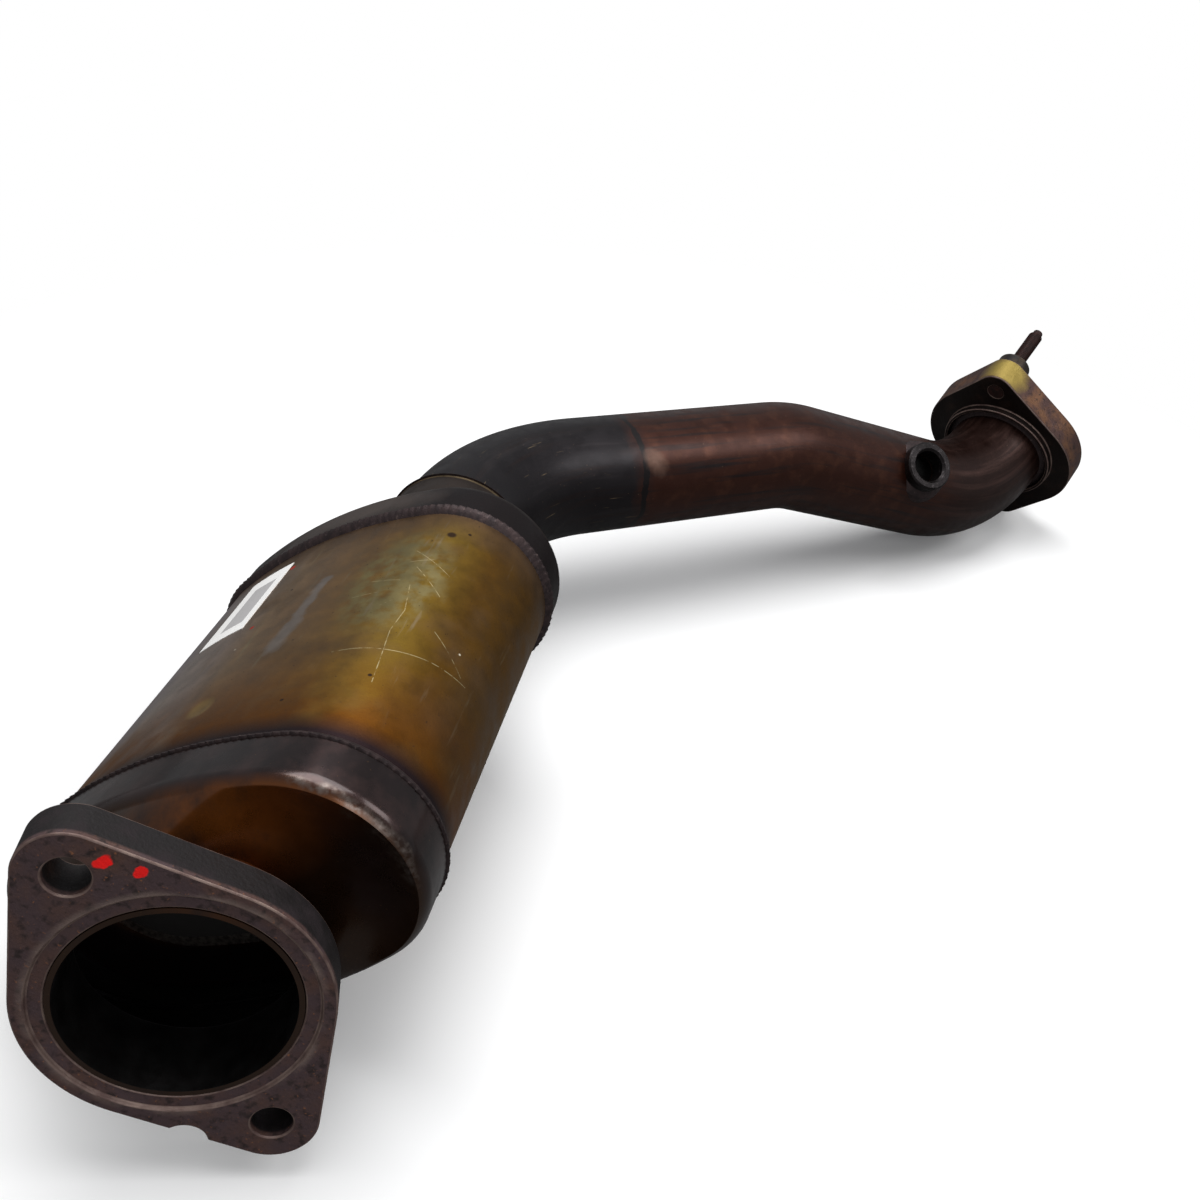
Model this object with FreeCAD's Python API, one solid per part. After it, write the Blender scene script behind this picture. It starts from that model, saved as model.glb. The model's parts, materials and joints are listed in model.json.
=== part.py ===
import FreeCAD, Part
import math
import os

# Catalytic converter with its inlet pipe: a flat oval canister between two stamped cones,
# a two-bolt outlet flange on a short neck, and a bent inlet pipe with an oxygen sensor boss
# and a thick studded flange.  All sizes are in millimetres.
#
# Working frame: X runs along the canister from the outlet end to the inlet end, Y across its
# width and Z through its height.  The origin is the middle of the outlet end of the shell.
# Everything is modelled there, and the finished part is then laid down as it comes to rest.

Vector = FreeCAD.Vector
AXIS_X = Vector(1, 0, 0)
AXIS_Y = Vector(0, 1, 0)
AXIS_Z = Vector(0, 0, 1)
FULL_TURN = 2 * math.pi

# Canister shell: a four-arc oval tube
SHELL_WIDTH = 137.0
SHELL_HEIGHT = 77.0
SHELL_END_RADIUS = 34.0
SHELL_LENGTH = 132.0          # visible length between the two cones
SHEET = 1.5                   # sheet thickness of shell and cones
SLEEVE_OVERLAP = 8.0          # how far the shell runs into each cone
FIT_GAP = 0.15                # slip clearance between parts that push together

# Catalyst packed inside the shell
MAT_THICKNESS = 4.0
BRICK_LENGTH = 118.0
MAT_SEAL_LENGTH = 8.0

# Cones
SKIRT_LENGTH = 13.0           # straight band of each cone beyond the shell
SHOULDER_RADIUS = 6.0
INLET_CONE_LENGTH = 22.0      # shoulder to neck
INLET_NECK_LENGTH = 13.0
INLET_NECK_OFFSET = -15.0     # neck axis across the width from the shell axis
NECK_SIZING = 0.1             # step where a neck is sized to its pipe

# Outlet flange
OUTLET_FACE_CENTRE = Vector(-53.5, -11.0, -2.0)
OUTLET_YAW = 18.8             # face turned about Z from straight ahead
OUTLET_PITCH = -3.5           # face tipped down
OUTLET_ROLL = -4.7            # bolt line turned from upright
OUTLET_PLATE = 12.0
OUTLET_NECK_RADIUS = 31.65
OUTLET_BOLT_SPACING = 95.4
OUTLET_BOLT_HOLE = 11.3
OUTLET_LOBE_RADIUS = 12.7     # round of the plate about each bolt
OUTLET_BODY_RADIUS = 40.0     # round of the plate about the bore
GASKET_SEAT_RADIUS = 36.0
GASKET_SEAT_DEPTH = 1.0
NOTCH_RADIUS = 6.2
NOTCH_ALONG = -42.1           # notch centre from the bore, along and across the bolt line
NOTCH_ACROSS = -23.2
OUTLET_NECK_LENGTH = 11.0     # neck between the cone's shoulder and the back of the plate

# Inlet pipe: straight runs between route points, joined by tangent bends
PIPE_DIAMETER = 54.0
PIPE_WALL = 2.0
PIPE_INSERTION = 12.0         # pipe end pushed into the inlet cone's neck
ROUTE_CORNERS = [
    Vector(234, -15, 0),
    Vector(337, -117, -78),
    Vector(417, -183, -176.5),
]
ROUTE_END = Vector(453, -208.7, -170.7)
BEND_RADII = [92.0, 75.0, 88.0]

# Oxygen sensor boss
BOSS_RUN = 2                  # it stands on the straight run after this route corner
BOSS_ALONG = 83.0             # distance past that corner
BOSS_TURN = 78.0              # direction about the pipe, from upright
BOSS_LEAN = 15.0              # leaned back towards the canister
BOSS_OUTER = 25.5
BOSS_BORE = 16.4
BOSS_HEIGHT = 9.0             # above the pipe's wall
BOSS_WELD_LEG = 4.0

# Inlet flange
INLET_PLATE = 16.0
INLET_LONG_SIDE = 88.5
INLET_SHORT_SIDE = 79.0
INLET_BOLT_CORNER = 11.0      # round of the two corners that carry the studs
INLET_PLAIN_CORNER = 37.0
INLET_TURN = -18.2            # long side turned from upright
INLET_BORE_STEP = 1.5         # pipe end below the gasket face
HUB_OUTER = 65.0
HUB_WALL = 2.0
HUB_HEIGHT = 4.0
STUD_DIAMETER = 8.0           # thread, above the collar
STUD_SHANK_DIAMETER = 9.0     # plain press-in shank, through the plate and the collar
STUD_PROJECTION = 38.0
STUD_DOG_LENGTH = 2.5
STUD_DOG_DIAMETER = 5.5
SHANK_GAP = 0.05
COLLAR_DIAMETER = 18.5
COLLAR_HEIGHT = 8.0
COLLAR_CHAMFER = 1.2

# Paper label on the shell's upper face, near its inlet end
LABEL_LENGTH = 44.0
LABEL_END = 12.0              # from the inlet cone
LABEL_THICKNESS = 0.2
LABEL_NEAR = 10.5             # its long edges, across the width from the shell's axis
LABEL_FAR = 32.0

# Welds
WELD_LEG = 3.5
WELD_CROWN = 0.9              # how far a cone's bead stands above the skirt

# Lying attitude: turned about X, then about Y, so that three points of the part touch the floor
REST_ROLL = -37.3
REST_PITCH = 0.0

SECTION_POINTS = 24           # points of one section of a cone, a multiple of four


# ---------------------------------------------------------------- frames and small helpers

def make_frame(origin, forward, upright, turn=0.0):
    """Right-handed frame: its Z runs forward and its Y is as upright as it can be."""
    forward = Vector(forward).normalize()
    side = upright.cross(forward).normalize()
    raised = forward.cross(side)
    turned = FreeCAD.Rotation(forward, turn)
    side = turned.multVec(side)
    raised = turned.multVec(raised)
    return FreeCAD.Placement(origin, FreeCAD.Rotation(side, raised, forward, "ZXY"))


def placed(shape, frame):
    moved = shape.copy()
    moved.Placement = frame.multiply(moved.Placement)
    return moved


def cylinder(radius, start, direction, length):
    return Part.makeCylinder(radius, length, start, direction)


def ring(outer, inner, start, direction, length):
    return cylinder(outer, start, direction, length).cut(cylinder(inner, start, direction, length))


def revolved(outline, frame):
    """Solid turned about the frame's Z from (radius, height) points."""
    points = [Vector(radius, 0, height) for radius, height in outline]
    face = Part.Face(Part.makePolygon(points + points[:1]))
    return placed(face.revolve(Vector(0, 0, 0), AXIS_Z, 360), frame)


# ---------------------------------------------------------------- oval sections

class Oval:
    """Four-arc oval: two end arcs and two flatter face arcs that meet tangentially."""

    def __init__(self, width, height, end_radius):
        self.end_radius = end_radius
        self.end_offset = width / 2 - end_radius
        rise = height / 2 - end_radius
        self.face_offset = (self.end_offset ** 2 - rise ** 2) / (2 * rise)
        self.face_radius = end_radius + math.hypot(self.end_offset, self.face_offset)
        self.meet = math.atan2(self.face_offset, self.end_offset)

    def arc_centre(self, angle):
        """Centre and radius of the arc whose normal points at this angle."""
        across = math.cos(angle)
        up = math.sin(angle)
        if abs(up) < math.sin(self.meet) + 1e-9:
            return math.copysign(self.end_offset, across), 0.0, self.end_radius
        return 0.0, -math.copysign(self.face_offset, up), self.face_radius

    def point(self, angle, inset=0.0):
        centre_across, centre_up, radius = self.arc_centre(angle)
        across = centre_across + (radius - inset) * math.cos(angle)
        up = centre_up + (radius - inset) * math.sin(angle)
        return across, up

    def wire(self, inset, x):
        """Exact outline of four arcs, moved inwards by inset, at one station along X."""
        angles = [-self.meet, self.meet, math.pi - self.meet, math.pi + self.meet]
        angles.append(angles[0] + FULL_TURN)
        edges = []
        for start, end in zip(angles[:-1], angles[1:]):
            ends = [self.limit_point(start, inset), self.limit_point(end, inset)]
            middle = self.point((start + end) / 2, inset)
            a, b, c = [Vector(x, *pair) for pair in (ends[0], middle, ends[1])]
            edges.append(Part.Arc(a, b, c).toShape())
        return Part.Wire(edges)

    def limit_point(self, angle, inset):
        """Point where an end arc meets a face arc."""
        across = math.copysign(self.end_offset, math.cos(angle))
        reach = self.end_radius - inset
        return across + reach * math.cos(angle), reach * math.sin(angle)

    def prism(self, inset, start, end):
        face = Part.Face(self.wire(inset, start))
        return face.extrude(Vector(end - start, 0, 0))

    def tube(self, outer_inset, inner_inset, start, end):
        return self.prism(outer_inset, start, end).cut(self.prism(inner_inset, start, end))

    def normal_at(self, share):
        """Normal angle at this share of a quarter of the perimeter, from the end's tip."""
        end_length = self.end_radius * self.meet
        face_length = self.face_radius * (math.pi / 2 - self.meet)
        length = share * (end_length + face_length)
        if length <= end_length:
            return length / self.end_radius
        return self.meet + (length - end_length) / self.face_radius

    def section_angles(self):
        """Normal angles of evenly spaced points all round the oval."""
        steps = SECTION_POINTS // 4
        quarter = [self.normal_at(step / steps) for step in range(steps)]
        mirrored = [math.pi - self.normal_at(1 - step / steps) for step in range(steps)]
        half = quarter + mirrored
        return half + [math.pi + angle for angle in half]


SLEEVE = SHEET + FIT_GAP      # a cone's skirt stands this far outside the shell
SHELL = Oval(SHELL_WIDTH, SHELL_HEIGHT, SHELL_END_RADIUS)
CONE = Oval(SHELL_WIDTH + 2 * SLEEVE, SHELL_HEIGHT + 2 * SLEEVE, SHELL_END_RADIUS + SLEEVE)
OVAL_ANGLES = CONE.section_angles()
ROUND_ANGLES = [FULL_TURN * point / SECTION_POINTS for point in range(SECTION_POINTS)]


def section_wire(frame, blend, circle_radius, inset):
    """Smooth closed section between the oval (blend 0) and a circle (blend 1).

    The frame's Z is the way the gas flows out of the cone.
    """
    points = []
    for oval_angle, round_angle in zip(OVAL_ANGLES, ROUND_ANGLES):
        oval_across, oval_up = CONE.point(oval_angle, inset)
        round_across = circle_radius * math.cos(round_angle)
        round_up = circle_radius * math.sin(round_angle)
        across = oval_across + (round_across - oval_across) * blend
        up = oval_up + (round_up - oval_up) * blend
        points.append(frame.multVec(Vector(across, up, 0)))
    curve = Part.BSplineCurve()
    curve.interpolate(Points=points, PeriodicFlag=True, Parameters=ROUND_ANGLES + [FULL_TURN])
    return Part.Wire(curve.toShape())


# ---------------------------------------------------------------- stamped cones

SHOULDER_STEPS = 3
THROAT_STEPS = 7


def extruded(wire, travel):
    return Part.Face(wire).extrude(travel)


def cone_skin(depth, skirt_start, way, neck_frame, neck_radius, neck_length):
    """Solid bounded by the cone's sheet at this depth below its outer surface.

    A straight skirt, a rounded shoulder, a dished throat that turns to the neck's direction,
    and the round neck.  way is the direction from the shell towards the neck along X.
    """
    outward = AXIS_X * way
    skirt_end = skirt_start + way * SKIRT_LENGTH
    bend = SHOULDER_RADIUS - depth
    stations = []
    for step in range(SHOULDER_STEPS + 1):
        turn = math.pi / 2 * step / SHOULDER_STEPS
        centre = Vector(skirt_end + way * bend * math.sin(turn), 0, 0)
        inset = SHOULDER_RADIUS - bend * math.cos(turn)
        stations.append(section_wire(make_frame(centre, outward, AXIS_Z), 0, 1, inset))

    throat_start = Vector(skirt_end + way * SHOULDER_RADIUS, 0, 0)
    neck_way = neck_frame.Rotation.multVec(AXIS_Z)
    throat_length = (neck_frame.Base - throat_start).Length
    leave = throat_start + outward * throat_length / 3
    arrive = neck_frame.Base - neck_way * throat_length / 3
    for step in range(1, THROAT_STEPS + 1):
        turn = math.pi / 2 * step / THROAT_STEPS
        along = 1 - math.cos(turn)
        narrowed = math.sin(turn)
        back = 1 - along
        centre = (throat_start * back ** 3 + leave * 3 * along * back ** 2
                  + arrive * 3 * along ** 2 * back + neck_frame.Base * along ** 3)
        forward = (outward * back + neck_way * along).normalize()
        centre = centre - forward * depth * math.cos(turn)
        radius = neck_radius - NECK_SIZING - depth * narrowed
        inset = SHOULDER_RADIUS + depth * narrowed
        stations.append(section_wire(make_frame(centre, forward, AXIS_Z), narrowed, radius, inset))

    start = make_frame(Vector(skirt_start, 0, 0), outward, AXIS_Z)
    stations.insert(0, section_wire(start, 0, 1, depth))
    neck = cylinder(neck_radius - depth, neck_frame.Base, neck_way, neck_length)
    return Part.makeLoft(stations, True, True).fuse(neck)


def build_cone(skirt_start, way, neck_frame, neck_radius, neck_length):
    skins = [cone_skin(depth, skirt_start, way, neck_frame, neck_radius, neck_length)
             for depth in (0, SHEET)]
    return skins[0].cut(skins[1])


def cone_bead(edge, way):
    """Fillet weld round the shell at a skirt's edge, running away from the skirt along way."""
    crown = SLEEVE + WELD_CROWN
    profile = [(0, crown), (0.5, 0.8 * crown), (1, 0.1)]
    wires = [SHELL.wire(-outset, edge + way * share * WELD_LEG) for share, outset in profile]
    band = Part.makeLoft(wires, True, True)
    return band.cut(SHELL.prism(0, edge - WELD_LEG, edge + WELD_LEG))


# ---------------------------------------------------------------- round beads and plates

def round_bead(radius, leg, frame):
    """Convex fillet weld in the corner between a tube and the plane at the frame's origin."""
    corner = Vector(radius, 0, 0)
    foot = corner + AXIS_X * leg
    top = corner + AXIS_Z * leg
    belly = corner + (AXIS_X + AXIS_Z) * 0.6 * leg
    edges = [Part.makeLine(corner, foot), Part.Arc(foot, belly, top).toShape(),
             Part.makeLine(top, corner)]
    face = Part.Face(Part.Wire(edges))
    return placed(face.revolve(Vector(0, 0, 0), AXIS_Z, 360), frame)


def rhombic_outline(half_spacing, lobe_radius, body_radius):
    """Two lobes and a round body joined by tangent lines, bolts along local Y."""
    lean = math.asin((body_radius - lobe_radius) / half_spacing)

    def touch(centre, radius, angle):
        return Vector(radius * math.cos(angle), centre + radius * math.sin(angle), 0)

    lobe = [touch(half_spacing, lobe_radius, angle) for angle in (lean, math.pi / 2, math.pi - lean)]
    flank = [touch(0, body_radius, angle) for angle in (math.pi - lean, math.pi, math.pi + lean)]
    low_lobe = [Vector(-point.x, -point.y, 0) for point in lobe]
    far_flank = [Vector(-point.x, -point.y, 0) for point in flank]
    arcs = [lobe, flank, low_lobe, far_flank]
    edges = []
    for arc, following in zip(arcs, arcs[1:] + arcs[:1]):
        edges.append(Part.Arc(*arc).toShape())
        edges.append(Part.makeLine(arc[-1], following[0]))
    return Part.Wire(edges)


def cornered_outline(width, height, radii):
    """Rectangle with its own round at each corner, listed anticlockwise from the upper right."""
    corners = [(1, 1), (-1, 1), (-1, -1), (1, -1)]
    arcs = []
    for index, ((across, up), radius) in enumerate(zip(corners, radii)):
        centre = Vector(across * (width / 2 - radius), up * (height / 2 - radius), 0)
        start = math.pi / 2 * index
        angles = [start, start + math.pi / 4, start + math.pi / 2]
        arcs.append([centre + Vector(math.cos(a), math.sin(a), 0) * radius for a in angles])
    edges = []
    for arc, following in zip(arcs, arcs[1:] + arcs[:1]):
        edges.append(Part.Arc(*arc).toShape())
        edges.append(Part.makeLine(arc[-1], following[0]))
    return Part.Wire(edges)


# ---------------------------------------------------------------- canister

def build_shell():
    return SHELL.tube(0, SHEET, -SLEEVE_OVERLAP, SHELL_LENGTH + SLEEVE_OVERLAP)


BRICK_START = (SHELL_LENGTH - BRICK_LENGTH) / 2
BRICK_END = BRICK_START + BRICK_LENGTH
MAT_OUTSIDE = SHEET
MAT_INSIDE = SHEET + MAT_THICKNESS


def build_monolith():
    return SHELL.prism(MAT_INSIDE, BRICK_START, BRICK_END)


def build_mat():
    return SHELL.tube(MAT_OUTSIDE, MAT_INSIDE, BRICK_START + MAT_SEAL_LENGTH,
                      BRICK_END - MAT_SEAL_LENGTH)


def build_mat_seal(start):
    return SHELL.tube(MAT_OUTSIDE, MAT_INSIDE, start, start + MAT_SEAL_LENGTH)


def build_label():
    """Paper sticker that follows the shell's upper face."""
    sheet = SHELL.tube(-LABEL_THICKNESS, 0, SHELL_LENGTH - LABEL_END - LABEL_LENGTH,
                       SHELL_LENGTH - LABEL_END)
    window = Part.makeBox(SHELL_LENGTH, LABEL_FAR - LABEL_NEAR, SHELL_HEIGHT,
                          Vector(0, LABEL_NEAR, 0))
    return sheet.common(window)


# ---------------------------------------------------------------- outlet end

def outlet_frame():
    """Origin at the middle of the gasket face, Z out of it, bolt line along Y."""
    yaw = FreeCAD.Rotation(AXIS_Z, OUTLET_YAW)
    pitch = FreeCAD.Rotation(AXIS_Y, OUTLET_PITCH)
    forward = yaw.multVec(pitch.multVec(-AXIS_X))
    return make_frame(OUTLET_FACE_CENTRE, forward, AXIS_Z, OUTLET_ROLL)


OUTLET = outlet_frame()
OUTLET_BACK = OUTLET.multiply(FreeCAD.Placement(Vector(0, 0, -OUTLET_PLATE), FreeCAD.Rotation()))


def build_outlet_flange():
    half_spacing = OUTLET_BOLT_SPACING / 2
    outline = rhombic_outline(half_spacing, OUTLET_LOBE_RADIUS, OUTLET_BODY_RADIUS)
    plate = extruded(outline, AXIS_Z * OUTLET_PLATE)
    down = Vector(0, 0, -1)
    top = Vector(0, 0, OUTLET_PLATE)
    cuts = [cylinder(OUTLET_NECK_RADIUS + FIT_GAP, top, down, OUTLET_PLATE),
            cylinder(GASKET_SEAT_RADIUS, top, down, GASKET_SEAT_DEPTH),
            cylinder(NOTCH_RADIUS, top + Vector(NOTCH_ACROSS, NOTCH_ALONG, 0), down, OUTLET_PLATE)]
    for bolt in (-half_spacing, half_spacing):
        cuts.append(cylinder(OUTLET_BOLT_HOLE / 2, top + AXIS_Y * bolt, down, OUTLET_PLATE))
    return placed(plate.cut(cuts), OUTLET_BACK)


def build_outlet_cone():
    behind = Vector(0, 0, -OUTLET_PLATE - OUTLET_NECK_LENGTH)
    neck_frame = OUTLET.multiply(FreeCAD.Placement(behind, FreeCAD.Rotation()))
    neck_length = OUTLET_NECK_LENGTH + OUTLET_PLATE - GASKET_SEAT_DEPTH
    return build_cone(0.0, -1, neck_frame, OUTLET_NECK_RADIUS, neck_length)


def build_outlet_flange_weld():
    about = FreeCAD.Rotation(AXIS_X, 180)
    return round_bead(OUTLET_NECK_RADIUS, WELD_LEG, OUTLET_BACK.multiply(
        FreeCAD.Placement(Vector(0, 0, 0), about)))


# ---------------------------------------------------------------- inlet pipe

PIPE_RADIUS = PIPE_DIAMETER / 2
INLET_NECK_RADIUS = PIPE_RADIUS + FIT_GAP + SHEET
INLET_NECK_START = Vector(SHELL_LENGTH + SKIRT_LENGTH + SHOULDER_RADIUS + INLET_CONE_LENGTH,
                          INLET_NECK_OFFSET, 0)
INLET_NECK_END = INLET_NECK_START + AXIS_X * INLET_NECK_LENGTH
LAST_RUN = (ROUTE_END - ROUTE_CORNERS[-1]).normalize()
ROUTE = ([INLET_NECK_END - AXIS_X * PIPE_INSERTION] + ROUTE_CORNERS
         + [ROUTE_END + LAST_RUN * (INLET_PLATE - INLET_BORE_STEP)])


def swept_bar(radius):
    """Round bar along the route: straight runs joined by tangent bends."""
    solids = []
    leave = ROUTE[0]
    for before, corner, after, bend in zip(ROUTE, ROUTE[1:], ROUTE[2:], BEND_RADII):
        arriving = (corner - before).normalize()
        leaving = (after - corner).normalize()
        turn = arriving.getAngle(leaving)
        tangent = bend * math.tan(turn / 2)
        begin = corner - arriving * tangent
        solids.append(cylinder(radius, leave, arriving, (begin - leave).Length))
        axis = arriving.cross(leaving).normalize()
        hub = begin + axis.cross(arriving) * bend
        disc = Part.Face(Part.Wire(Part.makeCircle(radius, begin, arriving)))
        solids.append(disc.revolve(hub, axis, math.degrees(turn)))
        leave = corner + leaving * tangent
    final = ROUTE[-1] - leave
    solids.append(cylinder(radius, leave, final, final.Length))
    return solids[0].fuse(solids[1:])


def boss_frame():
    """Origin on the pipe's centre line, Z out through the boss."""
    before, after = ROUTE[BOSS_RUN], ROUTE[BOSS_RUN + 1]
    run = (after - before).normalize()
    square = make_frame(before + run * BOSS_ALONG, run, AXIS_Z, BOSS_TURN)
    lean = math.radians(BOSS_LEAN)
    outward = square.Rotation.multVec(Vector(0, math.cos(lean), -math.sin(lean)))
    return make_frame(square.Base, outward, run)


BOSS = boss_frame()
PIPE_BAR = swept_bar(PIPE_RADIUS)


def build_pipe():
    tube = PIPE_BAR.cut(swept_bar(PIPE_RADIUS - PIPE_WALL))
    hole = placed(cylinder(BOSS_BORE / 2, Vector(0, 0, 0), AXIS_Z, PIPE_DIAMETER), BOSS)
    return tube.cut(hole)


BOSS_TOP = PIPE_RADIUS + BOSS_HEIGHT


def build_boss():
    body = cylinder(BOSS_OUTER / 2, Vector(0, 0, 0), AXIS_Z, BOSS_TOP)
    rim = [edge for edge in body.Edges if edge.BoundBox.ZMin > BOSS_TOP / 2]
    body = body.makeChamfer(0.8, [edge for edge in rim if len(edge.Vertexes) == 1])
    bore = cylinder(BOSS_BORE / 2, Vector(0, 0, 0), AXIS_Z, BOSS_TOP)
    sink = Part.makeCone(BOSS_BORE / 2, BOSS_BORE / 2 + 1.2, 1.2, Vector(0, 0, BOSS_TOP - 1.2))
    return placed(body.cut([bore, sink]), BOSS).cut(PIPE_BAR)


def build_boss_weld():
    """Bead that follows the saddle where the boss meets the pipe."""
    inner = BOSS_OUTER / 2
    outer = inner + BOSS_WELD_LEG
    low = PIPE_RADIUS - 3 * BOSS_WELD_LEG
    outline = [(inner, low), (outer, low), (outer, PIPE_RADIUS - BOSS_WELD_LEG),
               (outer - 0.3 * BOSS_WELD_LEG, PIPE_RADIUS), (inner, PIPE_RADIUS + 0.7 * BOSS_WELD_LEG)]
    return revolved(outline, BOSS).cut(PIPE_BAR)


def build_pipe_weld():
    frame = make_frame(INLET_NECK_END, AXIS_X, AXIS_Z)
    return round_bead(PIPE_RADIUS, SLEEVE + WELD_CROWN, frame)


# ---------------------------------------------------------------- inlet flange

INLET = make_frame(ROUTE_END, LAST_RUN, AXIS_Z, INLET_TURN)
STUD_ACROSS = INLET_SHORT_SIDE / 2 - INLET_BOLT_CORNER
STUD_ALONG = INLET_LONG_SIDE / 2 - INLET_BOLT_CORNER
SHANK_HOLE = STUD_SHANK_DIAMETER / 2 + SHANK_GAP


def stud_places():
    """Upper and lower stud, at the centres of the two bolt corners."""
    return [Vector(side * -STUD_ACROSS, side * STUD_ALONG, 0) for side in (1, -1)]


def build_inlet_flange():
    radii = [INLET_PLAIN_CORNER, INLET_BOLT_CORNER] * 2
    outline = cornered_outline(INLET_SHORT_SIDE, INLET_LONG_SIDE, radii)
    plate = extruded(outline, AXIS_Z * INLET_PLATE)
    hub = ring(HUB_OUTER / 2, HUB_OUTER / 2 - HUB_WALL, Vector(0, 0, -HUB_HEIGHT), AXIS_Z, HUB_HEIGHT)
    cuts = [cylinder(PIPE_RADIUS + FIT_GAP, Vector(0, 0, 0), AXIS_Z, INLET_PLATE)]
    for place in stud_places():
        cuts.append(cylinder(SHANK_HOLE, place, AXIS_Z, INLET_PLATE))
    return placed(plate.cut(cuts).fuse(hub), INLET)


def build_inlet_flange_weld():
    """Bead that fills the trough between the hub and the pipe."""
    trough = HUB_OUTER / 2 - HUB_WALL
    inner = PIPE_RADIUS
    outline = [(inner, 0), (trough, 0), (trough, -0.3 * HUB_HEIGHT), (inner, -0.8 * HUB_HEIGHT)]
    return revolved(outline, INLET)


def build_stud(place):
    """Shank up to the collar's top, then the thinner thread, then the dog point."""
    shoulder = INLET_PLATE + COLLAR_HEIGHT
    tip = INLET_PLATE + STUD_PROJECTION
    shank = STUD_SHANK_DIAMETER / 2
    radius = STUD_DIAMETER / 2
    dog = STUD_DOG_DIAMETER / 2
    outline = [(0, 0), (shank, 0), (shank, shoulder), (radius, shoulder),
               (radius, tip - STUD_DOG_LENGTH - (radius - dog)),
               (dog, tip - STUD_DOG_LENGTH), (dog, tip), (0, tip)]
    return revolved(outline, INLET.multiply(FreeCAD.Placement(place, FreeCAD.Rotation())))


def build_collar(place):
    """Round collar on the stud's shank, seated on the gasket face."""
    hole = SHANK_HOLE
    rim = COLLAR_DIAMETER / 2
    low, high = INLET_PLATE, INLET_PLATE + COLLAR_HEIGHT
    outline = [(hole, low), (rim, low), (rim, high - COLLAR_CHAMFER),
               (rim - COLLAR_CHAMFER, high), (hole, high)]
    return revolved(outline, INLET.multiply(FreeCAD.Placement(place, FreeCAD.Rotation())))


# ---------------------------------------------------------------- assembly

def build_all():
    upper, lower = stud_places()
    inlet_skirt_frame = make_frame(INLET_NECK_START, AXIS_X, AXIS_Z)
    return {
        "shell": build_shell(),
        "ceramic_monolith": build_monolith(),
        "support_mat": build_mat(),
        "outlet_mat_seal": build_mat_seal(BRICK_START),
        "inlet_mat_seal": build_mat_seal(BRICK_END - MAT_SEAL_LENGTH),
        "part_label": build_label(),
        "outlet_cone": build_outlet_cone(),
        "outlet_cone_weld": cone_bead(0, 1),
        "outlet_flange": build_outlet_flange(),
        "outlet_flange_weld": build_outlet_flange_weld(),
        "inlet_cone": build_cone(SHELL_LENGTH, 1, inlet_skirt_frame, INLET_NECK_RADIUS,
                                 INLET_NECK_LENGTH),
        "inlet_cone_weld": cone_bead(SHELL_LENGTH, -1),
        "inlet_pipe": build_pipe(),
        "inlet_pipe_weld": build_pipe_weld(),
        "sensor_boss": build_boss(),
        "sensor_boss_weld": build_boss_weld(),
        "inlet_flange": build_inlet_flange(),
        "inlet_flange_weld": build_inlet_flange_weld(),
        "upper_stud": build_stud(upper),
        "lower_stud": build_stud(lower),
        "upper_stud_collar": build_collar(upper),
        "lower_stud_collar": build_collar(lower),
    }


def lay_down(parts):
    """Turn the part to its lying attitude and put the middle of its base at the origin."""
    turn = FreeCAD.Rotation(AXIS_Y, REST_PITCH).multiply(FreeCAD.Rotation(AXIS_X, REST_ROLL))
    attitude = FreeCAD.Placement(Vector(0, 0, 0), turn)
    turned = {name: placed(shape, attitude) for name, shape in parts.items()}
    box = FreeCAD.BoundBox()
    for shape in turned.values():
        box.add(shape.optimalBoundingBox(False))
    shift = FreeCAD.Placement(Vector(-box.Center.x, -box.Center.y, -box.ZMin), FreeCAD.Rotation())
    return {name: placed(shape, shift) for name, shape in turned.items()}


os.makedirs("parts", exist_ok=True)
for part_name, part_shape in lay_down(build_all()).items():
    part_shape.exportStep("parts/" + part_name + ".step")
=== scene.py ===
import json
import math

import bmesh
import bpy
from mathutils import Euler, Matrix, Vector


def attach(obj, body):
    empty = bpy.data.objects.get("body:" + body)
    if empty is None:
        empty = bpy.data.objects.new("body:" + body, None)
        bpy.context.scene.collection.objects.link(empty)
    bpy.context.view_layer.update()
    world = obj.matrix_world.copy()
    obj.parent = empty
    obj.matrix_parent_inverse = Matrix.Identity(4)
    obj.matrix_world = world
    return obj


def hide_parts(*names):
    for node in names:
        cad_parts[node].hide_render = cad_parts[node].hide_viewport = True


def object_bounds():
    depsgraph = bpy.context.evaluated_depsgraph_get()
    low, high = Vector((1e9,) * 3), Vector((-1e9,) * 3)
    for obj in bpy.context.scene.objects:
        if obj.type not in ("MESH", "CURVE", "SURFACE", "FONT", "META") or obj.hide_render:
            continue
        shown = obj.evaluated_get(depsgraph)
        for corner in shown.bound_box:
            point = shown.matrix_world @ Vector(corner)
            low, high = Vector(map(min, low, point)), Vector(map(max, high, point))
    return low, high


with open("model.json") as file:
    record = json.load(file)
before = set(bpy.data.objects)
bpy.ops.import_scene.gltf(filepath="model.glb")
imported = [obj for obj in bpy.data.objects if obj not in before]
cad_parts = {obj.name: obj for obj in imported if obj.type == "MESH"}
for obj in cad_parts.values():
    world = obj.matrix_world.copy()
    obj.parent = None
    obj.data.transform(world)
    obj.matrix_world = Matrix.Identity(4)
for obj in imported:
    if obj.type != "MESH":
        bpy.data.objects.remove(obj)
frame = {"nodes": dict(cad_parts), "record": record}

loaded_low, loaded_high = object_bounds()

# Sizes in millimetres, in the working frame of the part: X along the canister from the outlet
# end to the inlet end, Y across it, Z through its height.  The part then lies rolled on the floor.

AXIS_X = Vector((1, 0, 0))
AXIS_Z = Vector((0, 0, 1))
FULL_TURN = 2 * math.pi
MM = 0.001

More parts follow.
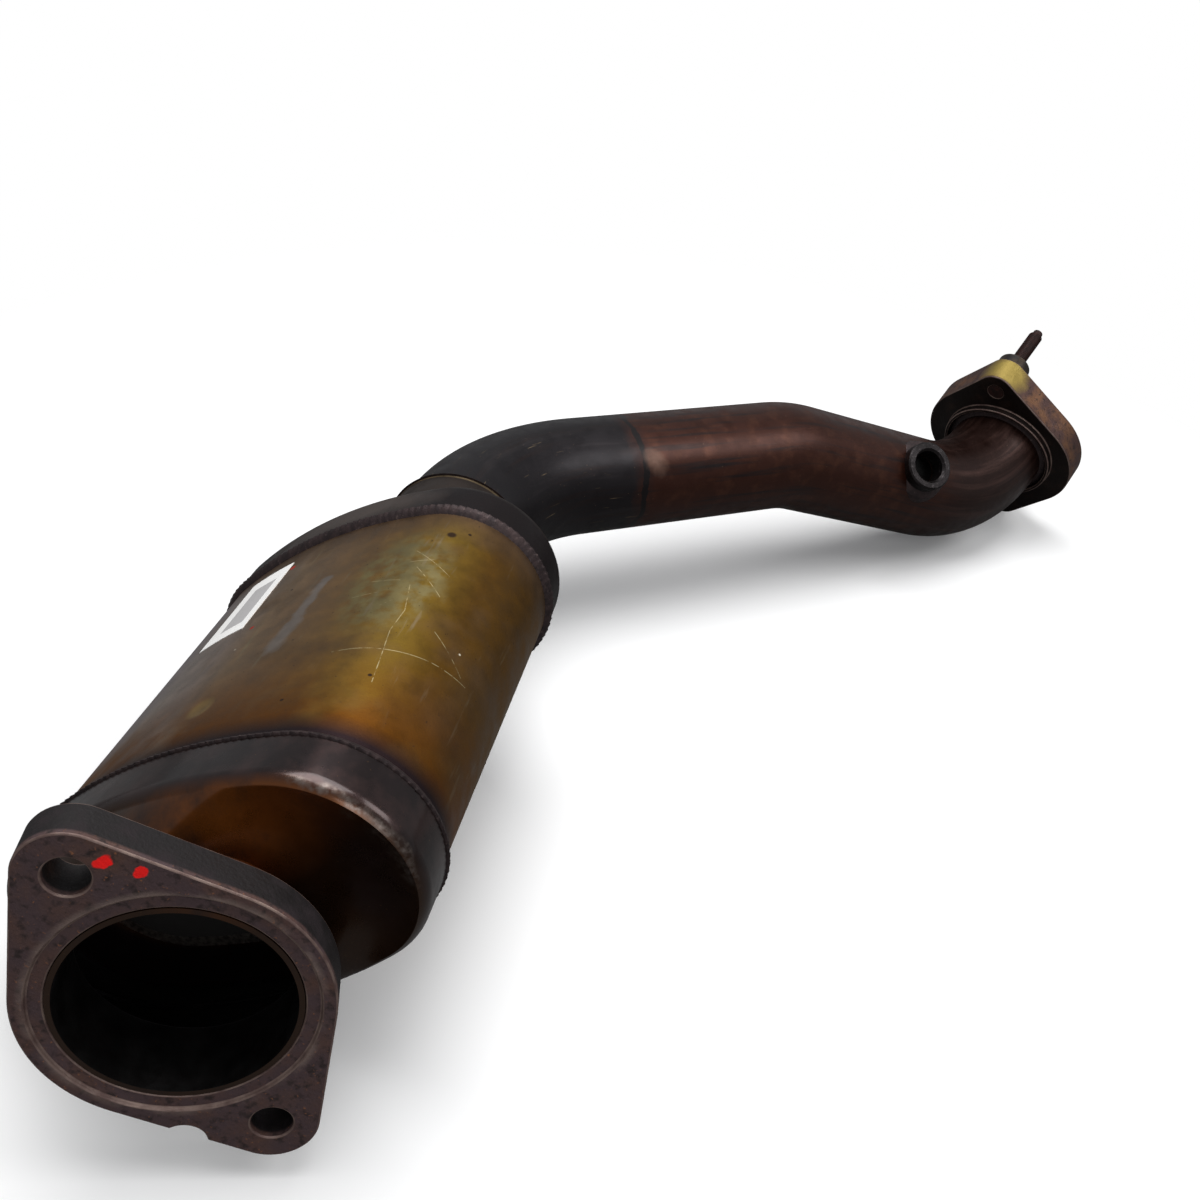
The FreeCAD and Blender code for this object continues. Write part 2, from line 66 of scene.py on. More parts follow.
SHELL_WIDTH, SHELL_HEIGHT, SHELL_END_RADIUS, SHELL_LENGTH = 137.0, 77.0, 34.0, 132.0
SHEET = 1.5
SLEEVE_OVERLAP = 8.0
FIT_GAP = 0.15
SKIRT_LENGTH = 13.0
SHOULDER_RADIUS = 6.0
INLET_CONE_LENGTH = 22.0
INLET_NECK_LENGTH = 13.0
INLET_NECK_OFFSET = -15.0
NECK_SIZING = 0.1
OUTLET_FACE_CENTRE = Vector((-53.5, -11.0, -2.0))
OUTLET_YAW, OUTLET_PITCH, OUTLET_ROLL = 18.8, -3.5, -4.7
OUTLET_PLATE = 12.0
OUTLET_NECK_RADIUS = 31.65
OUTLET_NECK_LENGTH = 11.0
GASKET_SEAT_RADIUS = 36.0
GASKET_SEAT_DEPTH = 1.0
PIPE_RADIUS = 27.0
PIPE_WALL = 2.0
PIPE_INSERTION = 12.0
ROUTE_CORNERS = [Vector((234, -15, 0)), Vector((337, -117, -78)), Vector((417, -183, -176.5))]
ROUTE_END = Vector((453, -208.7, -170.7))
BEND_RADII = [92.0, 75.0, 88.0]
BOSS_RUN, BOSS_ALONG, BOSS_TURN, BOSS_LEAN = 2, 83.0, 78.0, 15.0
BOSS_BORE = 16.4
INLET_PLATE = 16.0
INLET_LONG_SIDE, INLET_SHORT_SIDE, INLET_BOLT_CORNER = 88.5, 79.0, 11.0
INLET_TURN = -18.2
INLET_BORE_STEP = 1.5
STUD_DIAMETER, STUD_SHANK_DIAMETER = 8.0, 9.0
STUD_PROJECTION = 38.0
STUD_DOG_LENGTH, STUD_DOG_DIAMETER = 2.5, 5.5
THREAD_PITCH = 1.25
THREAD_DEPTH = 0.6
COLLAR_HEIGHT = 8.0
WELD_LEG = 3.5
WELD_CROWN = 0.9

ROLL = math.radians(37.3)      # how far the part lies rolled over at rest
REST = Matrix.Rotation(-ROLL, 3, "X")
mounts = {mount["name"]: mount for mount in frame["record"]["mounts"]}
SHIFT = Vector(mounts["outlet_bolts"]["pos_m"]) / MM - REST @ OUTLET_FACE_CENTRE


def laid(point):
    """Row-frame place, in metres, of a working-frame point in millimetres."""
    return (REST @ point + SHIFT) * MM


# ---------------------------------------------------------------- frames and sections

def make_frame(origin, forward, upright, turn=0.0):
    forward = forward.normalized()
    side = upright.cross(forward).normalized()
    raised = forward.cross(side)
    turned = Matrix.Rotation(math.radians(turn), 3, forward)
    columns = Matrix((turned @ side, turned @ raised, forward)).transposed()
    return Matrix.LocRotScale(origin, columns.to_quaternion(), None)


class Oval:
    """Four-arc oval: two end arcs and two flatter face arcs that meet tangentially."""

    def __init__(self, width, height, end_radius):
        self.end_radius = end_radius
        self.end_offset = width / 2 - end_radius
        rise = height / 2 - end_radius
        self.face_offset = (self.end_offset ** 2 - rise ** 2) / (2 * rise)
        self.face_radius = end_radius + math.hypot(self.end_offset, self.face_offset)
        self.meet = math.atan2(self.face_offset, self.end_offset)
        self.end_length = end_radius * self.meet
        self.quarter = self.end_length + self.face_radius * (math.pi / 2 - self.meet)

    def point(self, angle, inset=0.0):
        across, up = math.cos(angle), math.sin(angle)
        if abs(up) < math.sin(self.meet) + 1e-9:
            reach = self.end_radius - inset
            return math.copysign(self.end_offset, across) + reach * across, reach * up
        reach = self.face_radius - inset
        return reach * across, reach * up - math.copysign(self.face_offset, up)

    def normal_at(self, length):
        """Normal angle this far along a quarter of the outline, from the end's tip."""
        if length <= self.end_length:
            return length / self.end_radius
        return self.meet + (length - self.end_length) / self.face_radius

    def angles(self, count):
        """Normal angles of evenly spaced points, and how far each lies along the outline."""
        steps = count // 4
        spots = [self.quarter * step / steps for step in range(steps)]
        quarter = [self.normal_at(spot) for spot in spots]
        mirrored = [math.pi - self.normal_at(self.quarter - spot) for spot in spots]
        half = quarter + mirrored
        return half + [math.pi + angle for angle in half]


SLEEVE = SHEET + FIT_GAP
SHELL = Oval(SHELL_WIDTH, SHELL_HEIGHT, SHELL_END_RADIUS)
CONE = Oval(SHELL_WIDTH + 2 * SLEEVE, SHELL_HEIGHT + 2 * SLEEVE, SHELL_END_RADIUS + SLEEVE)

yaw = Matrix.Rotation(math.radians(OUTLET_YAW), 3, "Z")
pitch = Matrix.Rotation(math.radians(OUTLET_PITCH), 3, "Y")
OUTLET = make_frame(OUTLET_FACE_CENTRE, yaw @ pitch @ -AXIS_X, AXIS_Z, OUTLET_ROLL)
INLET_NECK_START = Vector((SHELL_LENGTH + SKIRT_LENGTH + SHOULDER_RADIUS + INLET_CONE_LENGTH,
                           INLET_NECK_OFFSET, 0))
INLET_NECK_END = INLET_NECK_START + AXIS_X * INLET_NECK_LENGTH
INLET_NECK_RADIUS = PIPE_RADIUS + FIT_GAP + SHEET
LAST_RUN = (ROUTE_END - ROUTE_CORNERS[-1]).normalized()
ROUTE = ([INLET_NECK_END - AXIS_X * PIPE_INSERTION] + ROUTE_CORNERS
         + [ROUTE_END + LAST_RUN * (INLET_PLATE - INLET_BORE_STEP)])
INLET = make_frame(ROUTE_END, LAST_RUN, AXIS_Z, INLET_TURN)


# ---------------------------------------------------------------- mesh code

SHARP_EDGE = math.radians(40)
SHARP_CARRIED_EDGE = math.radians(35)

def ring_mesh(name, rings, spots=None, closed=True):
    """Skin over rings of working-frame points.

    spots, if given, are kept as mesh data for the materials.
    """
    mesh = bpy.data.meshes.new(name)
    count = len(rings[0])
    corners = [laid(point) for ring in rings for point in ring]
    faces = []
    last = len(rings) if closed else len(rings) - 1
    for row in range(last):
        following = (row + 1) % len(rings)
        for step in range(count):
            beside = (step + 1) % count
            faces.append((row * count + step, row * count + beside,
                          following * count + beside, following * count + step))
    mesh.from_pydata(corners, [], faces)
    mesh.update()
    if spots:
        layer = mesh.attributes.new("unrolled", "FLOAT_VECTOR", "POINT")
        layer.data.foreach_set("vector", [value for spot in spots for value in spot])
    return outward(mesh)


def outward(mesh):
    """Faces turned to look out, smooth except at real edges."""
    shape = bmesh.new()
    shape.from_mesh(mesh)
    bmesh.ops.recalc_face_normals(shape, faces=shape.faces)
    shape.to_mesh(mesh)
    shape.free()
    for face in mesh.polygons:
        face.use_smooth = True
    mesh.set_sharp_from_angle(angle=SHARP_EDGE)
    return mesh


def place(name, mesh, slot_name, finish, *nodes):
    piece = bpy.data.objects.new(name, mesh)
    bpy.context.scene.collection.objects.link(piece)
    mesh.materials.append(finish)
    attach(piece, "root")
    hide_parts(*nodes)
    return piece


# ---------------------------------------------------------------- node helpers

def srgb(code):
    """Linear colour of a hex sRGB one."""
    parts = [int(code[place:place + 2], 16) / 255 for place in (1, 3, 5)]
    linear = [part / 12.92 if part <= 0.04045 else ((part + 0.055) / 1.055) ** 2.4
              for part in parts]
    return (*linear, 1.0)


def add(tree, kind, inputs, **settings):
    """New node with these settings; each input is a constant or another node's socket."""
    made = tree.nodes.new(kind)
    for key, value in settings.items():
        setattr(made, key, value)
    for key, value in inputs.items():
        if isinstance(value, bpy.types.NodeSocket):
            tree.links.new(value, made.inputs[key])
        else:
            made.inputs[key].default_value = value
    return made


def working_place(tree):
    """Shader coordinates in the part's working frame, in millimetres."""
    back = -(REST.transposed() @ SHIFT)
    source = add(tree, "ShaderNodeTexCoord", {})
    return add(tree, "ShaderNodeMapping",
               {"Vector": source.outputs["Object"], "Scale": (1 / MM,) * 3,
                "Rotation": Euler((ROLL, 0, 0)), "Location": back}).outputs[0]


def patches(tree, where, size, low, high, detail=4.0, stretch=(1, 1, 1), roughness=0.55):
    """Mask of cloudy patches about this many millimetres across."""
    scaled = add(tree, "ShaderNodeVectorMath", {0: where, 1: stretch}, operation="MULTIPLY")
    cloud = add(tree, "ShaderNodeTexNoise", {"Vector": scaled.outputs[0], "Scale": 1 / size,
                                             "Detail": detail, "Roughness": roughness})
    return add(tree, "ShaderNodeMapRange", {"Value": cloud.outputs["Fac"], "From Min": low,
                                            "From Max": high}).outputs[0]


def spot(tree, where, centre, reach, edge=0.25):
    """Mask of an ellipsoid: 1 inside, falling to 0 over the last share of its reach."""
    away = add(tree, "ShaderNodeVectorMath", {0: where, 1: centre}, operation="SUBTRACT")
    shares = add(tree, "ShaderNodeVectorMath", {0: away.outputs[0], 1: reach}, operation="DIVIDE")
    far = add(tree, "ShaderNodeVectorMath", {0: shares.outputs[0]}, operation="LENGTH")
    return add(tree, "ShaderNodeMapRange", {"Value": far.outputs["Value"], "From Min": 1.0,
                                            "From Max": 1.0 - edge}).outputs[0]


def ragged(tree, where, size, amount):
    """The same coordinates, pushed about by noise so that masks get ragged edges."""
    cloud = add(tree, "ShaderNodeTexNoise", {"Vector": where, "Scale": 1 / size, "Detail": 3.0})
    push = add(tree, "ShaderNodeVectorMath", {0: cloud.outputs["Color"], 1: (0.5, 0.5, 0.5)},
               operation="SUBTRACT")
    scaled = add(tree, "ShaderNodeVectorMath", {0: push.outputs[0], "Scale": amount},
                 operation="SCALE")
    return add(tree, "ShaderNodeVectorMath", {0: where, 1: scaled.outputs[0]},
               operation="ADD").outputs[0]


def both(tree, first, second):
    """Mask where two masks meet."""
    return add(tree, "ShaderNodeMath", {0: first, 1: second}, operation="MULTIPLY").outputs[0]


def stroke(tree, flat, start, end, width):
    """Mask of a line between two spots of the unrolled sheet, this wide to each side."""
    first, last = Vector((*start, 0)), Vector((*end, 0))
    line = last - first
    away = add(tree, "ShaderNodeVectorMath", {0: flat, 1: first}, operation="SUBTRACT")
    along = add(tree, "ShaderNodeVectorMath", {0: away.outputs[0], 1: line / line.length_squared},
                operation="DOT_PRODUCT")
    held = add(tree, "ShaderNodeClamp", {"Value": along.outputs["Value"]})
    foot = add(tree, "ShaderNodeVectorMath", {0: line, "Scale": held.outputs[0]},
               operation="SCALE")
    miss = add(tree, "ShaderNodeVectorMath", {0: away.outputs[0], 1: foot.outputs[0]},
               operation="DISTANCE")
    return add(tree, "ShaderNodeMapRange", {"Value": miss.outputs["Value"], "From Min": width,
                                            "From Max": width * 0.4}).outputs[0]


def layered(tree, base, layers):
    """Colours laid over a base one, each where its mask is 1."""
    for mask, colour in layers:
        base = add(tree, "ShaderNodeMix", {0: mask, 6: base, 7: colour},
                   data_type="RGBA").outputs[2]
    return base


def surface(name, paint, roughness, metallic, bump_size=0.0, bump_height=0.0, coat=(0.0, 0.3)):
    """Material whose colour comes from paint(tree, where).

    roughness is its lowest and highest, and coat an oxide film's share and roughness.
    """
    made = bpy.data.materials.new(name)
    made.use_nodes = True
    tree = made.node_tree
    tree.nodes.clear()
    where = working_place(tree)
    colour = paint(tree, where)
    low, high = roughness
    worn = patches(tree, where, 7.0, 0.3, 0.7)
    sheen = add(tree, "ShaderNodeMapRange", {"Value": worn, "To Min": low, "To Max": high})
    inputs = {"Base Color": colour, "Roughness": sheen.outputs[0], "Metallic": metallic,
              "Coat Weight": coat[0], "Coat Roughness": coat[1]}
    if bump_height:
        grain = patches(tree, where, bump_size, 0.2, 0.8, detail=6.0)
        inputs["Normal"] = add(tree, "ShaderNodeBump", {"Height": grain, "Strength": 1.0,
                                                        "Distance": bump_height * MM}).outputs[0]
    shader = add(tree, "ShaderNodeBsdfPrincipled", inputs)
    add(tree, "ShaderNodeOutputMaterial", {"Surface": shader.outputs[0]})
    return made


def mottled(base, other, size=12.0, fine=None):
    """Paint of one tone broken by patches of another and by finer specks."""
    def paint(tree, where):
        layers = [(patches(tree, where, size, 0.38, 0.66), srgb(other))]
        if fine:
            layers.append((patches(tree, where, 1.6, 0.6, 0.72), srgb(fine)))
        return layered(tree, srgb(base), layers)
    return paint


# ---------------------------------------------------------------- finishes

SHELL_TONES = [(-74, "#6a4a18"), (-58, "#7d6324"), (-44, "#856832"), (-30, "#806440"),
               (-14, "#836a50"), (0, "#8f785f"), (14, "#998a80"), (30, "#9b9088"),
               (60, "#8d8794")]
TONE_REACH = 75.0
# Scratches, as spots along the canister and arc from its top centre, with half width
SCRATCHES = [
    ([(42.2, -41.0), (43.8, -49.5), (45.3, -58.2), (47.6, -70.4), (49.1, -84.0)], 0.21),
    ([(80.5, -52.8), (66.4, -55.8), (54.8, -55.0), (39.6, -57.1), (29.2, -58.4)], 0.19),
    ([(83.2, -38.6), (83.0, -48.6)], 0.17), ([(74.2, -34.9), (75.9, -43.5)], 0.17),
    ([(102.7, -47.2), (90.7, -63.1)], 0.19), ([(91.7, -51.5), (78.5, -63.5)], 0.19),
    ([(94.6, -48.1), (97.6, -55.8)], 0.17), ([(61.2, -67.4), (49.9, -82.2)], 0.19),
    ([(67.7, -47.2), (70.9, -50.1)], 0.19),
]
# Round marks: place, reach and tone. The last, lighter gold over the dimple, is painted light on
# the dent
SHELL_MARKS = [((115.1, -56.4), 2.0, "#3a2a1c"), ((118.4, -62.0), 0.8, "#33241b"),
               ((31.9, -56.9), 0.8, "#33241b"), ((19.4, -34.6), 0.7, "#33241b"),
               ((92.6, -2.7), 0.6, "#33241b"), ((59.6, 4.0), 0.5, "#efe6cf"),
               ((58.9, -77.6), 0.5, "#efe6cf"), ((114.9, 8.5), 1.5, "#d8382c"),
               ((72.6, 4.1), 1.1, "#d8382c"), ((25.9, -1.9), 5.5, "#94794e")]
# Where a tint begins and where it is full, in millimetres along the canister or pipe
NEAR_OUTLET, BURNT, NEAR_INLET = (46.0, 12.0), (13.0, 5.0), (112.0, 130.0)
PIPE_END_DARKENS = (305.0, 330.0)
OUTLET_SKIRT_EDGE, INLET_SKIRT_EDGE = (-17.5, -14.5), (149.0, 145.0)
INLET_LIP = (184.4, 185.2)
CELL_PITCH, CELL_WALL = 1.2, 0.25
# Along the pipe to the edge of the bender's clamp mark, where a dark line of painted shade is drawn
CLAMP_RUN = 121.5
# Painted highlight on the flat facet where the bender's clamp mark begins
CLAMP_FACET_HIGHLIGHT = (263.1, -81.0, -29.8)
# Where a black spot of painted shade on the pipe stands in for the hole under the sensor boss
before, after = ROUTE[BOSS_RUN], ROUTE[BOSS_RUN + 1]
run = (after - before).normalized()
square = make_frame(before + run * BOSS_ALONG, run, AXIS_Z, BOSS_TURN)
lean = math.radians(BOSS_LEAN)
boss_way = square.to_3x3() @ Vector((0, math.cos(lean), -math.sin(lean)))
BOSS = make_frame(square.translation, boss_way, run)
BOSS_MOUTH = BOSS @ Vector((0, 0, PIPE_RADIUS))
# Grey along the shoulder of the outlet cone: rubbed wear, and a painted highlight of its crease
SHOULDER_RUBS_AND_HIGHLIGHT = [(-16.0, -54.0, 27.5), (-16.0, -60.4, 23.3), (-16.5, -64.5, 17.1),
                   (-16.6, -67.5, 8.0), (-16.6, -69.0, -0.3), (-17.5, -67.0, -7.0)]
# Gold tint brightened as a painted highlight on the inlet flange's upper corner, across and along
# it
LIT_GOLD_CORNER = (34.0, 36.0)
# Grey field of the label: axis, middle and half size
LABEL_FIELD = [(0, 97.0, 14.5), (1, 20.0, 5.5)]
# Red paint on the outlet flange: across, along and reach
RED_DABS = [(9.6, 47.6, 2.2), (15.4, 40.9, 1.9)]


def paint_shell(tree, where):
    """Heat tint: gold on the -Y side, olive brown over the top, grey lilac on the +Y side."""
    unrolled = add(tree, "ShaderNodeAttribute", {}, attribute_name="unrolled")
    split = add(tree, "ShaderNodeSeparateXYZ", {0: unrolled.outputs["Vector"]})
    share = add(tree, "ShaderNodeMapRange", {"Value": split.outputs[1], "From Min": -TONE_REACH,
                                             "From Max": TONE_REACH})
    ramp = add(tree, "ShaderNodeValToRGB", {0: share.outputs[0]})
    tones = ramp.color_ramp.elements
    while len(tones) < len(SHELL_TONES):
        tones.new(0.5)
    for element, (arc, code) in zip(tones, SHELL_TONES):
        element.position = (arc + TONE_REACH) / (2 * TONE_REACH)
        element.color = srgb(code)
    near_outlet = add(tree, "ShaderNodeMapRange", {"Value": split.outputs[0],
                                                   "From Min": NEAR_OUTLET[0],
                                                   "From Max": NEAR_OUTLET[1]})
    burnt = add(tree, "ShaderNodeMapRange", {"Value": split.outputs[0],
                                             "From Min": BURNT[0],
                                             "From Max": BURNT[1]})
    near_inlet = add(tree, "ShaderNodeMapRange", {"Value": split.outputs[0],
                                                  "From Min": NEAR_INLET[0],
                                                  "From Max": NEAR_INLET[1]})
    flat = unrolled.outputs["Vector"]
    loose = ragged(tree, flat, 5.0, 5.0)
    broken = patches(tree, where, 2.5, 0.4, 0.55)
    scratches = [(both(tree, stroke(tree, flat, start, end, width), broken), srgb("#b3a47a"))
                 for line, width in SCRATCHES for start, end in zip(line, line[1:])]
    marks = [(spot(tree, flat, (*place, 0), (reach, reach, 1e3), 0.4), srgb(code))
             for place, reach, code in SHELL_MARKS]
    residue = both(tree, spot(tree, loose, (84, -47, 0), (34, 19, 1e3), 0.35),
                   patches(tree, flat, 6.0, 0.36, 0.56))
    orange = both(tree, near_outlet.outputs[0], patches(tree, flat, 30.0, 0.25, 0.5))
    return layered(tree, ramp.outputs[0], [
        (patches(tree, where, 26.0, 0.48, 0.74), srgb("#6b5236")),
        (residue, srgb("#85784f")),
        (patches(tree, flat, 5.0, 0.62, 0.74, stretch=(0.12, 1, 1)), srgb("#8f8066")),
        (orange, srgb("#6d4210")),
        (near_inlet.outputs[0], srgb("#66503c")),
        (burnt.outputs[0], srgb("#2c2022")),
        (patches(tree, where, 1.1, 0.68, 0.74), srgb("#3b2d24")),
        (stroke(tree, loose, (52.0, -15.6), (64.0, -16.4), 4.4), srgb("#8d8279")),
        (stroke(tree, loose, (60.0, -16.0), (92.0, -17.0), 3.0), srgb("#8d8279")),
    ] + marks + scratches)


def paint_pipe(tree, where):
    """Blue black by the canister, red brown beyond the clamp mark, streaked lengthwise."""
    unrolled = add(tree, "ShaderNodeAttribute", {}, attribute_name="unrolled")
    flat = unrolled.outputs["Vector"]
    split = add(tree, "ShaderNodeSeparateXYZ", {0: ragged(tree, flat, 9.0, 6.0)})
    beyond = add(tree, "ShaderNodeMapRange", {"Value": split.outputs[0], "From Min": CLAMP_RUN - 7,
                                              "From Max": CLAMP_RUN + 5})
    darker = add(tree, "ShaderNodeMapRange", {"Value": split.outputs[0],
                                              "From Min": PIPE_END_DARKENS[0],
                                              "From Max": PIPE_END_DARKENS[1]})
    # Thin dark line of painted shade along the edge of the clamp mark's flat
    line = add(tree, "ShaderNodeMath", {0: split.outputs[0], 1: CLAMP_RUN, 2: 1.3},
               operation="COMPARE")
    return layered(tree, srgb("#1b171a"), [
        (patches(tree, flat, 6.0, 0.56, 0.74, stretch=(0.08, 1, 1)), srgb("#2c2729")),
        (patches(tree, flat, 1.4, 0.68, 0.73, stretch=(0.05, 1, 1)), srgb("#7d6b52")),
        (beyond.outputs[0], srgb("#3a1b10")),
        (both(tree, beyond.outputs[0], patches(tree, flat, 9.0, 0.5, 0.72)), srgb("#4c2a1b")),
        (patches(tree, flat, 3.0, 0.52, 0.7, stretch=(0.05, 1, 1)), srgb("#201616")),
        (darker.outputs[0], srgb("#27130d")),
        (both(tree, darker.outputs[0], patches(tree, flat, 4.0, 0.5, 0.7, stretch=(0.06, 1, 1))),
         srgb("#452e28")),
        (line.outputs[0], srgb("#151011")),
        # black spot of painted shade standing in for the hole under the boss
        (spot(tree, where, BOSS_MOUTH, (BOSS_BORE / 2,) * 3, 0.05), srgb("#020202")),
        # painted highlight on the clamp mark's facet
        (spot(tree, ragged(tree, where, 4.0, 4.0), CLAMP_FACET_HIGHLIGHT, (6, 6, 9), 0.9), srgb("#6a5044")),
        (patches(tree, where, 0.9, 0.7, 0.75), srgb("#6b5848")),
    ])


def paint_monolith(tree, where):
    """Square cells 1.2 mm apart, sooty; the channel openings are painted darker than the walls as
    painted shade, and the whole face is darkened further as painted shade of the deep bore.
    """
    cell = add(tree, "ShaderNodeVectorMath", {0: where, 1: (CELL_PITCH,) * 3}, operation="MODULO")
    wall = add(tree, "ShaderNodeSeparateXYZ", {0: cell.outputs[0]})
    thin = add(tree, "ShaderNodeMath", {0: wall.outputs[1], 1: CELL_WALL}, operation="LESS_THAN")
    tall = add(tree, "ShaderNodeMath", {0: wall.outputs[2], 1: CELL_WALL}, operation="LESS_THAN")
    either = add(tree, "ShaderNodeMath", {0: thin.outputs[0], 1: tall.outputs[0]},
                 operation="MAXIMUM")
    return layered(tree, srgb("#060505"), [(either.outputs[0], srgb("#14110f"))])


def paint_outlet_cone(tree, where):
    """Copper brown throat with a brighter copper patch of painted light over the top of the dome,
    dark skirt, and a shoulder rubbed grey that also carries a painted highlight along its crease.
    """
    split = add(tree, "ShaderNodeSeparateXYZ", {0: where})
    skirt = add(tree, "ShaderNodeMapRange", {"Value": split.outputs[0],
                                             "From Min": OUTLET_SKIRT_EDGE[0],
                                             "From Max": OUTLET_SKIRT_EDGE[1]})
    loose = ragged(tree, where, 6.0, 3.0)
    # Grey rubs along the shoulder, which also stand for a painted highlight of the crease
    rubbed = [(both(tree, spot(tree, loose, place, (1.5, 6, 6), 0.7),
                    patches(tree, where, 2.0, 0.4, 0.7)), srgb("#6e635d"))
              for place in SHOULDER_RUBS_AND_HIGHLIGHT]
    return layered(tree, srgb("#38210f"), [
        # brighter copper over the top of the dome: painted light
        (spot(tree, where, (-26, -36, 26), (26, 42, 26), 0.9), srgb("#8a4c18")),
        (patches(tree, where, 14.0, 0.52, 0.74), srgb("#2e1d15")),
        (skirt.outputs[0], srgb("#241a1a")),
        (both(tree, skirt.outputs[0], patches(tree, where, 12.0, 0.4, 0.65)), srgb("#3d2c2a")),
        (patches(tree, where, 0.9, 0.69, 0.74), srgb("#5a4128")),
    ] + rubbed)


def paint_inlet_cone(tree, where):
    """Dark skirt whose top is painted lighter grey as painted light, grey brown throat and a rubbed
    neck lip.
    """
    split = add(tree, "ShaderNodeSeparateXYZ", {0: where})
    skirt = add(tree, "ShaderNodeMapRange", {"Value": split.outputs[0],
                                             "From Min": INLET_SKIRT_EDGE[0],
                                             "From Max": INLET_SKIRT_EDGE[1]})
    lip = add(tree, "ShaderNodeMapRange", {"Value": split.outputs[0],
                                           "From Min": INLET_LIP[0],
                                           "From Max": INLET_LIP[1]})
    return layered(tree, srgb("#39302b"), [
        (patches(tree, where, 14.0, 0.46, 0.7), srgb("#241e1b")),
        (skirt.outputs[0], srgb("#1c1516")),
        # lighter grey over the top of the skirt: painted light
        (spot(tree, ragged(tree, where, 9.0, 8.0), (141, -10, 40), (14, 52, 12), 0.7),
         srgb("#5c524d")),
        (lip.outputs[0], srgb("#7a6a52")),
    ])


def paint_outlet_flange(tree, where):
    """Purple brown rust with a gasket stain, two dabs of red paint by the upper bolt hole, and
    sides and back darkened as painted shade.
    """
    loose = ragged(tree, where, 2.5, 2.4)
    dabs = [(spot(tree, loose, OUTLET @ Vector((across, along, 0)), (reach * 1.5, reach * 1.2,
                                                                    reach * 0.85), 0.2),
             srgb("#ff1410")) for across, along, reach in RED_DABS]
    stain = add(tree, "ShaderNodeVectorMath", {0: where, 1: OUTLET.translation},
                operation="DISTANCE")
    ring = add(tree, "ShaderNodeMapRange", {"Value": stain.outputs["Value"],
                                            "From Min": GASKET_SEAT_RADIUS + 0.2,
                                            "From Max": GASKET_SEAT_RADIUS + 2.4,
                                            "To Min": 1.0, "To Max": 0.0})
    inside = add(tree, "ShaderNodeMapRange", {"Value": stain.outputs["Value"],
                                              "From Min": GASKET_SEAT_RADIUS - 0.4,
                                              "From Max": GASKET_SEAT_RADIUS + 0.2})
    arc = both(tree, ring.outputs[0], inside.outputs[0])
    facing = OUTLET.to_3x3() @ AXIS_Z
    depth = add(tree, "ShaderNodeVectorMath", {0: where, 1: facing}, operation="DOT_PRODUCT")
    level = facing.dot(OUTLET.translation)
    # Painted shade: near black on the plate's sides and back
    rim = add(tree, "ShaderNodeMapRange", {"Value": depth.outputs["Value"],
                                           "From Min": level - 1.3, "From Max": level - 2.2})
    return layered(tree, srgb("#49383a"), [
        (patches(tree, where, 10.0, 0.42, 0.68), srgb("#553c34")),
        (patches(tree, where, 2.6, 0.52, 0.68), srgb("#2c201f")),
        (patches(tree, where, 1.2, 0.64, 0.72), srgb("#80543a")),
        (both(tree, arc, patches(tree, where, 12.0, 0.4, 0.6)), srgb("#786760")),
        (rim.outputs[0], srgb("#120c0d")),
        (both(tree, rim.outputs[0], patches(tree, where, 7.0, 0.5, 0.7)), srgb("#20171a")),
    ] + dabs)


def paint_inlet_flange(tree, where):
    """Back painted near black as painted shade, rusty tan rim, and a gold tint on the corner by the
    upper stud brightened as a painted highlight.
    """
    facing = INLET.to_3x3() @ AXIS_Z
    depth = add(tree, "ShaderNodeVectorMath", {0: where, 1: facing}, operation="DOT_PRODUCT")
    level = facing.dot(INLET.translation)
    # Painted shade: near black on the plate's back
    back = add(tree, "ShaderNodeMapRange", {"Value": depth.outputs["Value"],
                                            "From Min": level + 1.2, "From Max": level + 0.4})
    corner = INLET @ Vector((-LIT_GOLD_CORNER[0], LIT_GOLD_CORNER[1], INLET_PLATE / 2))
    # Gold tint on the upper corner, brightened as a painted highlight
    lit = spot(tree, ragged(tree, where, 5.0, 5.0), corner, (15, 15, 15), 0.5)
    return layered(tree, srgb("#4a3430"), [
        (patches(tree, where, 9.0, 0.45, 0.65), srgb("#6b4a34")),
        (patches(tree, where, 2.4, 0.56, 0.7), srgb("#2e201c")),
        (lit, srgb("#94803e")),
        (back.outputs[0], srgb("#1a100d")),
        (both(tree, back.outputs[0], patches(tree, where, 9.0, 0.5, 0.7)), srgb("#2c1d17")),
    ])


def paint_label(tree, where):
    """White paper with one plain grey field."""
    split = add(tree, "ShaderNodeSeparateXYZ", {0: where})
    fields = [add(tree, "ShaderNodeMath", {0: split.outputs[axis], 1: middle, 2: half},
                  operation="COMPARE").outputs[0] for axis, middle, half in LABEL_FIELD]
    return layered(tree, srgb("#f3f2f0"), [(both(tree, *fields), srgb("#b4b2b2"))])


# Heat-tinted stainless sheet: satin, gold and olive, with faint rolled lines
shell_finish = surface("shell_steel", paint_shell, (0.36, 0.54), 0.95, 0.7, 0.02)
# The same sheet burnt darker: glossy copper brown
outlet_cone_finish = surface("outlet_cone_steel", paint_outlet_cone, (0.24, 0.4), 0.85, 0.8,
                             0.01, (0.5, 0.14))
# Grey brown pressed cone at the inlet
inlet_cone_finish = surface("inlet_cone_steel", paint_inlet_cone, (0.34, 0.55), 0.8, 0.8, 0.02)
# Drawn tube, oxidised, with lengthwise scratches
pipe_finish = surface("pipe_steel", paint_pipe, (0.3, 0.5), 0.75, 0.6, 0.02, (0.15, 0.28))
# Oxidised weld beads, dark purple brown
weld_finish = surface("weld_metal", mottled("#2b2223", "#3b2e2e", 3.0, "#544644"),
                      (0.45, 0.65), 0.6, 0.5, 0.06)
